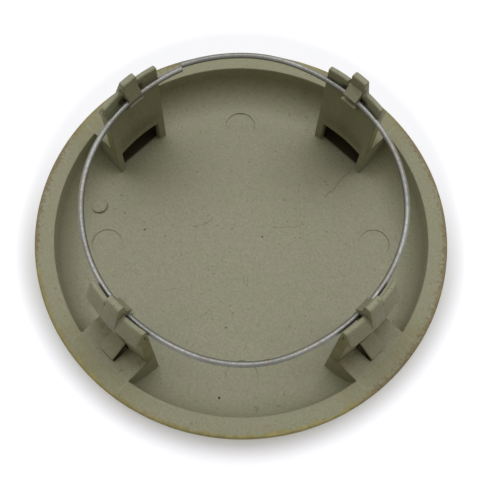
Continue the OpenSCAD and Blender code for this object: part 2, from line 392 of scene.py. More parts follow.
class LegPlaces:
    """Radii and heights that the leg's pieces share, from the sizes."""

    def __init__(self, cap, wire):
        at_leg, at_mid = ring_radii(wire)
        half = cap.leg_w / 2
        edges = []
        for k in range(LEGS):
            for a in (at_leg[k], at_leg[(k + 1) % LEGS]):
                off = ring_offset(a, at_mid[k])
                edges.append(math.hypot(math.sqrt((a + off) ** 2 - half**2) - off, half))
        self.rim_in = CAD_BOX[1].x - cap.rim_w
        self.seat_z = RIM_Z + wire.wire_z - wire.wire_d / 2 - wire.wire_gap
        self.plate_in = max(edges) + wire.wire_d / 2 + wire.wire_gap
        self.plate_out = self.plate_in + cap.plate_t
        self.lug_top = self.seat_z + cap.lug_h
        self.lug_out = self.plate_in + cap.lug_top_t
        self.barb_r = self.lug_out + cap.ramp_out
        self.barb_z = self.lug_top - cap.ramp_h
        self.hook_top = self.seat_z + cap.hook_h
        self.nose_z = self.seat_z + wire.wire_d + 2 * wire.wire_gap
        self.nose_r = wire.wire_r - cap.nose_over
        self.hook_in = self.nose_r + cap.nose_back
        self.hook_out = self.hook_in + cap.hook_t
        self.ledge_r = wire.wire_r - wire.wire_d / 2 - cap.ledge_over
        self.rib_foot = self.rim_in - cap.rib_back
        self.corner_r = self.rim_in - cap.dish_draft - cap.dish_r
        self.corner_r += (cap.dish_r + BURY) * (math.sqrt(2) - 1)


# How far out each leg's hook stands at its top
HOOK_LEANS = (0.0, 0.5 * MM, -0.2 * MM, 0.0)
# Small pits in the dish's floor, by their places in millimetres
PITS = ((-15.3, -11.2), (1.9, 3.9), (18.2, -24.0), (9.8, -13.9))
PIT_R = 0.25 * MM
PIT_DEPTH = 0.25 * MM
# How much the edges of the round pip are rounded
PIP_EDGE = 0.2 * MM


def clip_leg(cap, at):
    """One clip leg on +X, with its moulded edges rounded."""
    half = cap.leg_w / 2
    inner = half - cap.cheek_t
    deep = cap.face_t - BURY
    root = at.plate_out - BURY
    back = at.rim_in + BURY
    shelf_z = RIM_Z - cap.shelf_t
    undercut_z = at.barb_z - cap.undercut_h
    plate = rectangle(at.plate_in, deep, at.plate_out, at.seat_z)
    shelf = rectangle(at.plate_in, shelf_z, back, RIM_Z)
    wall = [
        (at.plate_in, deep),
        (at.corner_r, deep),
        (back, cap.face_t + at.rim_in - at.corner_r),
        (back, RIM_Z),
        (at.plate_in, RIM_Z),
    ]
    lugs = [
        (at.plate_in, at.seat_z - BURY),
        *tip(at.plate_in, at.lug_out, at.lug_top, cap.tip_cut),
        (at.barb_r, at.barb_z),
        (at.plate_out, undercut_z),
        (root, undercut_z),
    ]
    rib = [
        (root, shelf_z),
        (at.rib_foot, shelf_z),
        (at.rib_foot, RIM_Z + cap.rib_step),
        (at.plate_out + cap.rib_t, RIM_Z + cap.rib_h),
        (at.barb_r, at.barb_z),
        (root, at.barb_z),
    ]
    hook = [
        (at.plate_in, at.seat_z - BURY),
        (at.plate_in, at.nose_z),
        (at.nose_r, at.nose_z),
        (at.nose_r, at.nose_z + cap.nose_h),
        (at.hook_in, at.nose_z + cap.nose_h + cap.nose_ramp),
        *tip(at.hook_in, at.hook_out, at.hook_top, cap.tip_cut),
        (at.barb_r, at.barb_z),
        (root, at.barb_z),
    ]
    ledge = [
        (at.plate_in + BURY, at.seat_z),
        (at.ledge_r, at.seat_z),
        (at.plate_in, at.seat_z - cap.ledge_h),
        (at.plate_in + BURY, at.seat_z - cap.ledge_h),
    ]
    opening = [
        (at.plate_out, shelf_z - PAST),
        (at.rib_foot - cap.foot_t, shelf_z - PAST),
        (at.rib_foot - cap.foot_t, RIM_Z),
        (at.plate_out, RIM_Z + cap.rib_h - cap.rib_step),
    ]
    near = cap.hook_w / 2 + cap.lug_gap
    low = (at.plate_in - PAST, -near, at.lug_top - cap.gap_h)
    gap = block(low, (at.barb_r + PAST, near, at.lug_top + PAST))
    window = block((at.plate_in - half, -inner, cap.face_t), (at.plate_out + PAST, inner, shelf_z))
    added = [
        slab(shelf, -half, half),
        slab(wall, -half, -inner),
        slab(wall, inner, half),
        combine(slab(lugs, -half, half), [gap], "DIFFERENCE"),
        slab(ledge, -cap.ledge_w / 2, cap.ledge_w / 2),
    ]
    leg = combine(slab(plate, -half, half), added, "UNION")
    combine(leg, [window], "DIFFERENCE")
    clean(leg)
    rounded = [
        slab(rib, -cap.rib_w / 2, cap.rib_w / 2),
        slab(hook, -cap.hook_w / 2, cap.hook_w / 2),
    ]
    for part in (leg, *rounded):
        soften(part, cap.soft_edge)
    combine(leg, rounded, "UNION")
    side = cap.rib_w / 2 + cap.slot_w
    return combine(leg, [slab(opening, -side, side)], "DIFFERENCE")


def lean_hook(leg, cap, at, lean):
    """Sets the post of a leg's hook out by a distance above the nose's ramp, or in."""
    side = cap.hook_w / 2 + 0.01 * MM
    foot = at.nose_z + cap.nose_h
    for point in leg.data.vertices:
        if abs(point.co.y) < side and point.co.z > foot:
            point.co.x += lean * min((point.co.z - foot) / cap.nose_ramp, 1.0)


def cap_profile(cap):
    """Half-section of the face, shoulder, rim and dish, from the axis out and back to it."""
    edge = CAD_BOX[1].x
    shoulder = RIM_Z - cap.edge_r - cap.band_h
    rim_in = edge - cap.rim_w
    foot = rim_in - cap.dish_draft
    corner_z = cap.face_t + cap.dish_r
    points = [(0, 0), ((edge - shoulder) / 2, 0)]
    points += arc((edge - shoulder, shoulder), shoulder, -90, 0, 26)
    points += arc((edge - cap.edge_r, RIM_Z - cap.edge_r), cap.edge_r, 0, 90, 6)
    points += [(edge - cap.rim_w / 2, RIM_Z)]
    points += arc((rim_in + cap.inner_r, RIM_Z - cap.inner_r), cap.inner_r, 90, 180, 4)
    points += arc((foot - cap.dish_r, corner_z), cap.dish_r, 0, -90, 20)
    points += [((foot - cap.dish_r) * 2 / 3, cap.face_t), ((foot - cap.dish_r) / 3, cap.face_t)]
    return points + [(0, cap.face_t)]


def cap_shape(cap, wire):
    """The whole moulding in one closed mesh."""
    at = LegPlaces(cap, wire)
    body = revolved(cap_profile(cap), "cap_surface")
    marks = []
    for x, y in PITS:
        marks.append(drum((x * MM, y * MM), cap.face_t - PIT_DEPTH, RIM_Z, PIT_R, 12))
    for k in range(LEGS):
        middle = on_circle(cap.eject_r, math.tau * (k + 0.5) / LEGS)
        marks.append(drum(middle, cap.face_t - cap.eject_depth, RIM_Z, cap.eject_d / 2))
    combine(body, marks, "DIFFERENCE")
    middle = on_circle(cap.pip_r, cap.pip_at)
    pip = drum(middle, cap.face_t - BURY, cap.face_t + cap.pip_h, cap.pip_d / 2)
    soften(pip, PIP_EDGE)
    legs = [clip_leg(cap, at)]
    for k in range(1, LEGS):
        other = bpy.data.objects.new("leg", legs[0].data.copy())
        bpy.context.scene.collection.objects.link(other)
        legs.append(other)
    for k, (other, lean) in enumerate(zip(legs, HOOK_LEANS)):
        lean_hook(other, cap, at, lean)
        other.data.transform(Matrix.Rotation(math.tau * k / LEGS, 4, "Z"))
    return combine(body, [pip, *legs], "UNION")


def ring_radii(wire):
    """The ring's radii at each leg, and in the middle after each."""
    return [wire.wire_r - p for p in wire.plays], [wire.wire_r + b for b in wire.bows]


def ring_offset(a, m):
    """How far off the axis the ring's arcs are centred, from its radii at a leg and a middle."""
    return (m - a) / (2 - 2 * math.cos(math.tau / LEGS / 4))


def wire_shape(wire):
    """The wire ring, a round section spun along a chain of arcs that meet without a corner."""
    step = math.tau / LEGS
    half = step / 4
    at_leg, at_mid = ring_radii(wire)
    off = ring_offset(at_leg[OPEN_LEG], at_mid[OPEN_LEG - 1])
    leg_r = at_leg[OPEN_LEG] + off
    split_r = math.sqrt(leg_r**2 - (off * math.sin(wire.split_at)) ** 2)
    split_r -= off * math.cos(wire.split_at)
    split_turn = math.asin(split_r * math.sin(wire.split_at) / leg_r)
    # Each arc's centre as a direction and a distance, its radius, and where it starts and ends
    arcs = [(step * OPEN_LEG, -off, leg_r, wire.split_gap / leg_r - split_turn, 0)]
    for k in range(OPEN_LEG, OPEN_LEG + LEGS):
        near, m, far = at_leg[k % LEGS], at_mid[k % LEGS], at_leg[(k + 1) % LEGS]
        middle = step * (k + 0.5)
        off = ring_offset(near, m)
        arcs += [(step * k, -off, near + off, 0, half), (middle, off, m - off, -half, 0)]
        if k < OPEN_LEG + LEGS - 1:
            off = ring_offset(far, m)
            arcs += [(middle, off, m - off, 0, half), (step * (k + 1), -off, far + off, -half, 0)]
    end_x, end_y = on_circle(split_r + wire.end_out, step / 2 - wire.split_at)
    loose_r = ((m - end_x) ** 2 + end_y**2) / (2 * (m - end_x))
    arcs.append((middle, m - loose_r, loose_r, 0, math.asin(end_y / loose_r)))
    bm = bmesh.new()
    toward, out, radius, start, _ = arcs[0]
    turn = toward + start
    place = Vector((*on_circle(out, toward), RIM_Z + wire.wire_z))
    place += Vector((*on_circle(radius, turn), 0))
    made = bmesh.ops.create_circle(
        bm,
        cap_ends=True,
        segments=WIRE_SIDES,
        radius=wire.wire_d / 2,
        matrix=Matrix.Translation(place)
        @ Matrix.Rotation(turn, 4, "Z")
        @ Matrix.Rotation(math.pi / 2, 4, "X"),
    )
    last = bm.edges[:] + made["verts"]
    for toward, out, radius, start, end in arcs:
        steps = max(2, round(abs(end - start) / WIRE_STEP))
        about = {"cent": (*on_circle(out, toward), 0), "axis": (0, 0, 1)}
        made = bmesh.ops.spin(bm, geom=last, angle=end - start, steps=steps, **about)
        last = [g for g in made["geom_last"] if not isinstance(g, bmesh.types.BMFace)]
    bmesh.ops.edgeloop_fill(bm, edges=[g for g in last if isinstance(g, bmesh.types.BMEdge)])
    tidy(bm)
    return to_object(bm, "wire_drawn")


# Surface patterns, which all work in millimetres


def feed(tree, socket, value):
    """Links another node's socket to a socket, or sets its value."""
    if isinstance(value, bpy.types.NodeSocket):
        tree.links.new(value, socket)
    else:
        socket.default_value = value


def add(tree, kind, **values):
    """A node with its settings and its inputs, which are named with _ for a space."""
    made = tree.nodes.new(kind)
    for name, value in values.items():
        if hasattr(made, name):
            setattr(made, name, value)
        else:
            feed(tree, made.inputs[name.replace("_", " ")], value)
    return made


def joined(tree, kind, values, **settings):
    """The outputs of a node whose inputs are given in order."""
    made = add(tree, kind, **settings)
    for socket, value in zip(made.inputs, values):
        feed(tree, socket, value)
    return made.outputs


def calc(tree, operation, *values):
    """The result of a Math node on numbers or sockets."""
    return joined(tree, "ShaderNodeMath", values, operation=operation)[0]


def vector_math(tree, operation, *values):
    """The outputs of a Vector Math node on vectors or sockets."""
    return joined(tree, "ShaderNodeVectorMath", values, operation=operation)


def product(tree, first, *others):
    """Masks multiplied together."""
    for other in others:
        first = calc(tree, "MULTIPLY", first, other)
    return first


def highest(tree, first, *others):
    """The highest of several masks."""
    for other in others:
        first = calc(tree, "MAXIMUM", first, other)
    return first


def raised(tree, mask, share, base):
    """A base with a share of a mask added to it."""
    return calc(tree, "ADD", calc(tree, "MULTIPLY", mask, share), base)


def fade(tree, value, low, high):
    """A mask that rises smoothly from 0 at the first value to 1 at the second."""
    made = add(
        tree,
        "ShaderNodeMapRange",
        interpolation_type="SMOOTHSTEP",
        Value=value,
        From_Min=low,
        From_Max=high,
    )
    return made.outputs["Result"]


def zone(tree, at, *limits):
    """A mask of one place on the cap, by where it begins and is whole in each direction."""
    return product(tree, *[fade(tree, at[name], none, whole) for name, none, whole in limits])


def stripe(tree, value, middle, width):
    """A mask that is 1 where a value is near its middle, and 0 a width away."""
    away = calc(tree, "ABSOLUTE", calc(tree, "SUBTRACT", value, middle))
    return fade(tree, away, width, width / 3)


def mixed(tree, mask, first, second, blend="MIX"):
    """Two colours, mixed by a mask."""
    made = add(tree, "ShaderNodeMix", data_type="RGBA", blend_type=blend)
    feed(tree, made.inputs[0], mask)
    for socket, value in zip(made.inputs[6:], (first, second)):
        feed(tree, socket, value if isinstance(value, bpy.types.NodeSocket) else (*value, 1))
    return made.outputs[2]


def laid(tree, base, colour, mask, share):
    """A colour laid over the base at a share of a mask."""
    return mixed(tree, calc(tree, "MULTIPLY", mask, share), base, colour)


def noise(tree, place, size, detail=2.0):
    """Soft noise with spots of about a size."""
    made = add(tree, "ShaderNodeTexNoise", Vector=place, Scale=1 / size, Detail=detail)
    return made.outputs["Fac"]


def group(name, vectors, numbers, results):
    """A new node group that takes vectors and numbers, and its input and output nodes."""
    tree = bpy.data.node_groups.new(name, "ShaderNodeTree")
    for labels, way, kind in (
        (vectors, "INPUT", "NodeSocketVector"),
        (numbers, "INPUT", "NodeSocketFloat"),
        (results, "OUTPUT", "NodeSocketFloat"),
    ):
        for label in labels:
            tree.interface.new_socket(label, in_out=way, socket_type=kind)
    return tree, tree.nodes.new("NodeGroupInput"), tree.nodes.new("NodeGroupOutput")


def placed(tree, name, **values):
    """A node group placed in a tree, built the first time that it is asked for."""
    made = tree.nodes.new("ShaderNodeGroup")
    made.node_tree = bpy.data.node_groups.get(name) or GROUPS[name](name)
    for label, value in values.items():
        feed(tree, made.inputs[label], value)
    return made.outputs


def round_place(name):
    """Radius from the cap's axis and height above its face, and the place folded onto one leg."""
    tree, given, made = group(name, ["Place"], [], ["Radius", "Height", "Along", "Across"])
    x, y, z = add(tree, "ShaderNodeSeparateXYZ", Vector=given.outputs["Place"]).outputs
    flat = calc(tree, "ADD", product(tree, x, x), product(tree, y, y))
    tree.links.new(calc(tree, "SQRT", flat), made.inputs["Radius"])
    tree.links.new(z, made.inputs["Height"])
    ends = [calc(tree, "ABSOLUTE", value) for value in (x, y)]
    tree.links.new(calc(tree, "MAXIMUM", *ends), made.inputs["Along"])
    tree.links.new(calc(tree, "MINIMUM", *ends), made.inputs["Across"])
    return tree


def mottling(name):
    """Stains at three scales, as handling leaves them: wide blotches, spots and fine specks."""
    tree, given, made = group(name, ["Place"], ["Size"], ["Blotch", "Spot", "Speck"])
    place = vector_math(tree, "DIVIDE", given.outputs["Place"], given.outputs["Size"])[0]
    for label, size, detail, none, whole in (
        ("Blotch", 1.0, 3.0, 0.38, 0.62),
        ("Spot", 0.22, 3.0, 0.4, 0.64),
        ("Speck", 0.055, 2.0, 0.34, 0.68),
    ):
        stain = fade(tree, noise(tree, place, size, detail), none, whole)
        tree.links.new(stain, made.inputs[label])
    return tree


def scratching(name):
    """Fine broken scratches, all of them along one direction, which Turn sets."""
    tree, given, made = group(name, ["Place", "Turn"], ["Length"], ["Scratch"])
    place, turn, long = given.outputs[:3]
    turned = add(
        tree, "ShaderNodeVectorRotate", rotation_type="EULER_XYZ", Vector=place, Rotation=turn
    )
    x, y, z = add(tree, "ShaderNodeSeparateXYZ", Vector=turned.outputs[0]).outputs
    thin = add(tree, "ShaderNodeCombineXYZ", X=calc(tree, "DIVIDE", x, long), Y=y, Z=z)
    lines = stripe(tree, noise(tree, thin.outputs[0], 2.6, 1.0), 0.52, 0.012)
    broken = fade(tree, noise(tree, turned.outputs[0], 5.0), 0.52, 0.6)
    tree.links.new(product(tree, lines, broken), made.inputs["Scratch"])
    return tree


def stroke(name):
    """One thin straight mark on the dish's floor, from Start for a Length, turned by Turn."""
    tree, given, made = group(name, ["Place", "Start", "Turn"], ["Length", "Width"], ["Mark"])
    place, start, turn, long, width = given.outputs[:5]
    turned = add(
        tree,
        "ShaderNodeVectorRotate",
        rotation_type="EULER_XYZ",
        invert=True,
        Vector=vector_math(tree, "SUBTRACT", place, start)[0],
        Rotation=turn,
    )
    x, y, z = add(tree, "ShaderNodeSeparateXYZ", Vector=turned.outputs[0]).outputs
    wander = calc(tree, "SUBTRACT", noise(tree, place, 1.5), 0.5)
    side = calc(tree, "ABSOLUTE", calc(tree, "ADD", y, wander))
    inside = calc(tree, "LESS_THAN", side, width)
    begun = fade(tree, x, -0.3, 0.3)
    left = fade(tree, calc(tree, "SUBTRACT", long, x), -0.3, 0.3)
    tree.links.new(product(tree, inside, begun, left), made.inputs["Mark"])
    return tree


GROUPS = {made.__name__: made for made in (round_place, mottling, scratching, stroke)}


# Materials, whose places are in millimetres too

RIM = RIM_Z / MM
EDGE = CAD_BOX[1].x / MM


def material(name):
    """A new material with its principled shader, and the place on the object in millimetres."""
    made = bpy.data.materials.new(name)
    made.use_nodes = True
    tree = made.node_tree
    object_place = add(tree, "ShaderNodeTexCoord").outputs["Object"]
    scaled = add(tree, "ShaderNodeVectorMath", operation="SCALE", Scale=1 / MM)
    feed(tree, scaled.inputs[0], object_place)
    return made, tree, tree.nodes["Principled BSDF"], scaled.outputs[0]


def shell_mask(tree, at, cap):
    """The outside of the shoulder and the front face, which were painted."""
    shoulder = RIM - (cap.edge_r + cap.band_h) / MM
    face = cap.face_t / MM
    out = calc(tree, "SUBTRACT", at["Radius"], EDGE - shoulder)
    up = calc(tree, "SUBTRACT", at["Height"], shoulder)
    away = calc(tree, "SQRT", calc(tree, "ADD", product(tree, out, out), product(tree, up, up)))
    side = zone(
        tree,
        at,
        ("Radius", EDGE - shoulder - 3, EDGE - shoulder),
        ("Height", RIM - 0.1, RIM - 0.3),
    )
    side = product(tree, side, fade(tree, away, shoulder - 0.9, shoulder - 0.5))
    return highest(tree, side, fade(tree, at["Height"], face * 0.6, face * 0.4))


# Marks on the dish's floor: where each starts in millimetres, its turn in degrees, and its
# length and half width in millimetres. The first is the weld line and the last two are spots.
FLOOR_STROKES = [
    (4.9, 18.8, 94.0, 8.1, 0.1),
    (5.0, -16.0, 86.0, 3.0, 0.07),
    (5.0, -4.5, -39.0, 1.4, 0.07),
    (5.6, -4.1, -39.0, 1.4, 0.07),
    (-9.3, -4.0, 45.0, 2.1, 0.07),
    (-7.8, -2.5, 87.0, 2.2, 0.07),
    (1.8, 6.8, 46.0, 5.3, 0.07),
    (5.5, 10.6, 90.0, 1.4, 0.07),
    (24.4, -20.8, 0.0, 0.4, 0.3),
    (26.7, -17.6, 0.0, 0.4, 0.25),
]
# Where the rim's edge is scuffed brown: the middle of each stretch and half its length, in
# degrees round the cap
SCUFFED = [(214.0, 21.0), (8.0, 19.0), (40.0, 14.0), (66.0, 14.0), (150.0, 8.0)]
# Where the dish's far wall is darkened with painted shade, given the same way
SHADED_WALL = [(132.0, 55.0)]
# How far such a stretch fades at its ends, in degrees
STRETCH_END = 6


def floor_marks(tree, place, at, cap):
    """The weld line, the short scratches and the spots that show on the dish's floor."""
    face = cap.face_t / MM
    marks = []
    for x, y, turn, long, wide in FLOOR_STROKES:
        start = {"Start": (x, y, 0), "Turn": (0, 0, math.radians(turn))}
        made = placed(tree, "stroke", Place=place, Length=long, Width=wide, **start)
        marks.append(made["Mark"])
    limits = zone(tree, at, ("Height", face + 3.2, face + 2.8), ("Height", face - 0.6, face - 0.4))
    return product(tree, highest(tree, *marks), limits)


def sectors(tree, place, at, stretches):
    """A mask of stretches round the cap, each by its middle and half length in degrees."""
    masks = []
    for middle, half in stretches:
        toward = (*on_circle(1, math.radians(middle)), 0)
        reach = vector_math(tree, "DOT_PRODUCT", place, toward)["Value"]
        share = calc(tree, "DIVIDE", reach, at["Radius"])
        ends = [math.cos(math.radians(half + end)) for end in (STRETCH_END, -STRETCH_END)]
        masks.append(fade(tree, share, *ends))
    return highest(tree, *masks)


def box_shade_mask(tree, at, cap, leg):
    """The insides of the legs' boxes, and the openings under the ribs' sheets, where black painted
    shade goes.
    """
    under = RIM - cap.shelf_t / MM
    inner = (cap.leg_w / 2 - cap.cheek_t) / MM
    side = (cap.rib_w / 2 + cap.slot_w) / MM
    plate = leg.plate_out / MM
    foot = leg.rib_foot / MM
    boxes = zone(
        tree,
        at,
        ("Along", EDGE - 9.6, EDGE - 9.0),
        ("Along", EDGE - 3.5, EDGE - 3.7),
        ("Across", inner + 0.1, inner),
        ("Height", under + 0.6, under),
    )
    slope = (cap.rib_h - cap.rib_step) / (leg.rib_foot - leg.plate_out - cap.rib_t)
    sheet = calc(tree, "MULTIPLY", calc(tree, "SUBTRACT", at["Along"], plate), -slope)
    sheet = calc(tree, "SUBTRACT", at["Height"], sheet)
    below = RIM + (cap.rib_h - 0.45 * cap.rib_step) / MM
    ribs = zone(
        tree,
        at,
        ("Along", plate - 0.1, plate - 0.05),
        ("Along", foot, foot - 0.1),
        ("Across", side + 0.1, side + 0.05),
        ("Height", under - 0.2, under),
    )
    return highest(tree, boxes, product(tree, ribs, fade(tree, sheet, below + 0.1, below - 0.1)))


def stains(tree, place, at, cap, leg, patchy, boxes):
    """The layers of painted shade on the plastic, with the rim's olive beside the legs and the
    mould's witness lines, each with its mask, its strength and its colour.
    """
    half = cap.leg_w / MM / 2
    inside = leg.plate_in / MM
    outside = leg.plate_out / MM
    seat = leg.seat_z / MM

    def limited(*limits):
        return zone(tree, at, *limits)

    # Painted shade: one stretch of the dish's wall darkened where it faces away from the light.
    corner = limited(("Radius", EDGE - 6.5, EDGE - 4.2), ("Height", RIM - 0.1, RIM - 0.5))
    corner = product(tree, corner, sectors(tree, place, at, SHADED_WALL), 0.25)
    # Painted shade at the legs' feet, where the plates and lugs meet the shelves.
    feet = limited(
        ("Along", EDGE - 5.5, EDGE - 8.0),
        ("Across", half + 0.2, half),
        ("Along", EDGE - 10.5, EDGE - 9.6),
        ("Height", RIM + 4.5, RIM + 0.2),
        ("Height", RIM - 0.6, RIM - 0.1),
    )
    wall_and_foot_shade = highest(tree, corner, product(tree, feet, 0.8))
    # Painted shade: the yellowish olive of the shaded side faces of the legs.
    flanks = limited(("Across", half - 0.2, half - 0.1), ("Height", RIM - 0.3, RIM + 0.6))
    # Painted shade on the shelves next to the plates, under the lugs.
    shelves = limited(
        ("Along", EDGE - 3.4, EDGE - 5.0),
        ("Along", outside - 0.1, outside),
        ("Across", half + 0.05, half - 0.1),
        ("Height", RIM + 0.3, RIM + 0.1),
        ("Height", RIM - 0.3, RIM - 0.1),
    )
    # Painted shadow on the plates' inner faces just above the wire's seat, in the wire's shade.
    crevice = limited(
        ("Along", inside - 0.2, inside - 0.1),
        ("Along", inside + 0.2, inside + 0.1),
        ("Height", seat - 0.5, seat),
        ("Height", seat + 2.2, seat + 1.0),
    )
    rims = limited(
        ("Across", 14.0, 5.0),
        ("Radius", EDGE - 3.9, EDGE - 3.2),
        ("Height", RIM - 0.3, RIM - 0.1),
    )
    witness = limited(
        ("Radius", EDGE - 4.0, EDGE - 3.5),
        ("Radius", EDGE - 0.8, EDGE - 1.6),
        ("Height", RIM - 0.1, RIM - 0.05),
    )
    witness = product(tree, witness, stripe(tree, at["Across"], half, 0.16))
    return [
        # All these layers but the rim's olive and the witness lines are painted shade.
        (product(tree, wall_and_foot_shade, patchy), 1.0, "grime_and_shade"),
        (product(tree, flanks, patchy), 0.55, "olive"),
        (boxes, 0.93, "painted_shade"),
        (product(tree, shelves, patchy), 0.3, "grime_and_shade"),
        (crevice, 0.8, "painted_shade"),
        (product(tree, rims, patchy), 0.4, "olive"),
        (witness, 0.35, "pale"),
    ]


def worn_edge(tree, place, at, finish, surface):
    """The surface with its wear along the rim's edge, in patches, and the mask of that wear."""
    ragged = calc(tree, "ADD", noise(tree, place, 2.4), noise(tree, place, 0.5))
    reach = calc(tree, "ADD", at["Radius"], calc(tree, "MULTIPLY", ragged, 1.3))
    top = fade(tree, at["Height"], RIM - 1.6, RIM - 0.7)
    worn = product(tree, fade(tree, reach, EDGE + 0.4, EDGE + 0.8), top)
    patches = placed(tree, "mottling", Place=place, Size=7.0)
    scuffed = sectors(tree, place, at, SCUFFED)
    brownish = highest(tree, scuffed, product(tree, patches["Blotch"], 0.35))
    along = laid(tree, finish.ochre, finish.yellow, patches["Spot"], 0.8)
    broken = product(tree, brownish, raised(tree, patches["Speck"], 0.5, 0.5))
    along = mixed(tree, broken, along, finish.brown)
    surface = laid(tree, surface, along, worn, 0.85)
    freckles = product(
        tree,
        fade(tree, at["Radius"], EDGE - 1.9, EDGE - 0.6),
        fade(tree, noise(tree, place, 0.6), 0.5, 0.6),
        raised(tree, scuffed, 0.8, 0.2),
        top,
    )
    return laid(tree, surface, finish.brown, freckles, 0.65), worn


def plastic_material(finish, cap, wire):
    """Aged grey-olive plastic, painted on the outside and worn through along the rim's edge."""
    made, tree, shader, place = material("aged_plastic")
    at = placed(tree, "round_place", Place=place)
    stain = placed(tree, "mottling", Place=place, Size=11.0)

    # The bare plastic, with warm and green stains and a fine grain
    bare = laid(tree, finish.plastic, finish.green, stain["Blotch"], 0.5)
    bare = laid(tree, bare, finish.warm, stain["Spot"], 0.45)
    grain = noise(tree, place, 0.45, 3.0)
    lighter = raised(tree, grain, 0.5, 0.75)
    light = add(tree, "ShaderNodeCombineColor", Red=lighter, Green=lighter, Blue=lighter)
    bare = mixed(tree, 1.0, bare, light.outputs[0], "MULTIPLY")
    specks = fade(tree, noise(tree, place, 0.7, 1.0), 0.7, 0.76)
    bare = laid(tree, bare, finish.grime_and_shade, specks, 0.55)

    # The painted shade, the witness lines, the marks on the floor and the fine scratches
    leg = LegPlaces(cap, wire)
    boxes = box_shade_mask(tree, at, cap, leg)
    patchy = raised(tree, stain["Spot"], 0.5, 0.6)
    marks = floor_marks(tree, place, at, cap)
    scratches = highest(
        tree,
        placed(tree, "scratching", Place=place, Turn=(0, 0, 0.6), Length=9.0)["Scratch"],
        placed(tree, "scratching", Place=place, Turn=(0, 0, 2.3), Length=6.0)["Scratch"],
    )
    layers = stains(tree, place, at, cap, leg, patchy, boxes)
    for mask, share, name in [*layers, (marks, 0.5, "grime_and_shade"), (scratches, 0.06, "grime_and_shade")]:
        bare = laid(tree, bare, getattr(finish, name), mask, share)

    # The paint on the shoulder and the face, yellowed and scuffed, and the worn edge
    shell = shell_mask(tree, at, cap)
    yellowed = placed(tree, "mottling", Place=place, Size=17.0)
    paint = mixed(tree, yellowed["Blotch"], finish.paint, finish.paint_aged)
    paint = laid(tree, paint, finish.ochre, yellowed["Speck"], 0.25)
    paint = laid(tree, paint, finish.plastic, scratches, 0.6)
    surface, worn = worn_edge(tree, place, at, finish, mixed(tree, shell, bare, paint))
    tree.links.new(surface, shader.inputs["Base Color"])

    # How it shines, and its pebbled and scratched relief
    painted = product(tree, shell, calc(tree, "SUBTRACT", 1.0, worn))
    tree.links.new(product(tree, painted, 0.55), shader.inputs["Metallic"])
    dull = raised(tree, stain["Speck"], 0.14, 0.46)
    dull = calc(tree, "SUBTRACT", dull, product(tree, painted, 0.14))
    tree.links.new(dull, shader.inputs["Roughness"])
    # No reflection where the black painted shade fills the boxes and the openings.
    shine = product(tree, calc(tree, "SUBTRACT", 1.0, boxes), 0.25)
    tree.links.new(shine, shader.inputs["Specular IOR Level"])
    pebbles = calc(tree, "ADD", grain, product(tree, noise(tree, place, 1.6), 1.4))
    cut = calc(tree, "ADD", product(tree, scratches, 0.25), product(tree, marks, 1.5))
    height = calc(tree, "SUBTRACT", pebbles, cut)
    relief = add(tree, "ShaderNodeBump", Strength=0.55, Distance=0.05 * MM, Height=height)
    tree.links.new(relief.outputs[0], shader.inputs["Normal"])
    return made


def steel_material(finish):
    """Dull spring steel, drawn lengthways and stained."""
    made, tree, shader, place = material("spring_steel")
    stain = placed(tree, "mottling", Place=place, Size=9.0)
    at = placed(tree, "round_place", Place=place)
    steel = laid(tree, finish.steel, finish.steel_dark, stain["Blotch"], 0.5)
    steel = laid(tree, steel, finish.rust, stain["Spot"], 0.25)
    round_it = add(tree, "ShaderNodeCombineXYZ", X=at["Radius"], Z=at["Height"])
    drawn = noise(tree, round_it.outputs[0], 0.09, 1.0)
    tree.links.new(steel, shader.inputs["Base Color"])
    shader.inputs["Metallic"].default_value = 1
    tree.links.new(raised(tree, stain["Speck"], 0.18, 0.4), shader.inputs["Roughness"])
    relief = add(tree, "ShaderNodeBump", Strength=0.4, Distance=0.02 * MM, Height=drawn)
    tree.links.new(relief.outputs[0], shader.inputs["Normal"])
    return made


# Operators


def finish_piece(piece, node, surface, sharp):
    """Puts a finished piece in its node's place, its edges sharp beyond an angle."""
    piece.data.materials.clear()
    piece.data.materials.append(surface)
    piece.data.shade_smooth()
    piece.data.set_sharp_from_angle(angle=math.radians(sharp))
    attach(piece, "root")
    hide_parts(node)


class CENTRECAP_OT_moulding(bpy.types.Operator):
    """Builds the cap's moulding, with its dish, rim and clip legs"""

    bl_idname = "centrecap.moulding"
    bl_label = "Cap Moulding"

    def execute(self, context):
        scene = context.scene
        piece = cap_shape(scene.cap_sizes, scene.wire_sizes)
        surface = plastic_material(scene.cap_finishes, scene.cap_sizes, scene.wire_sizes)
        finish_piece(piece, "cap_moulding", surface, 35)
        return {"FINISHED"}


class CENTRECAP_OT_wire(bpy.types.Operator):
    """Builds the sprung wire ring that lies in the clip legs"""

    bl_idname = "centrecap.wire"
    bl_label = "Wire Ring"

    def execute(self, context):
        scene = context.scene
        piece = wire_shape(scene.wire_sizes)
        finish_piece(piece, "wire_ring", steel_material(scene.cap_finishes), 50)
        return {"FINISHED"}


# The camera looks down on the cap from between its first and fourth legs. Its place is measured
# from the middle of the rim's back, in the cap's radius.
CAMERA_TURN = math.radians(42.09)
CAMERA_PLACE = (0.0, -1.4362, 3.6108)
CAMERA_PITCH = math.radians(69.15)
CAMERA_YAW = -0.0043
CAMERA_ROLL = 0.0449
CAMERA_LENS = 60.0
SENSOR = 36.0


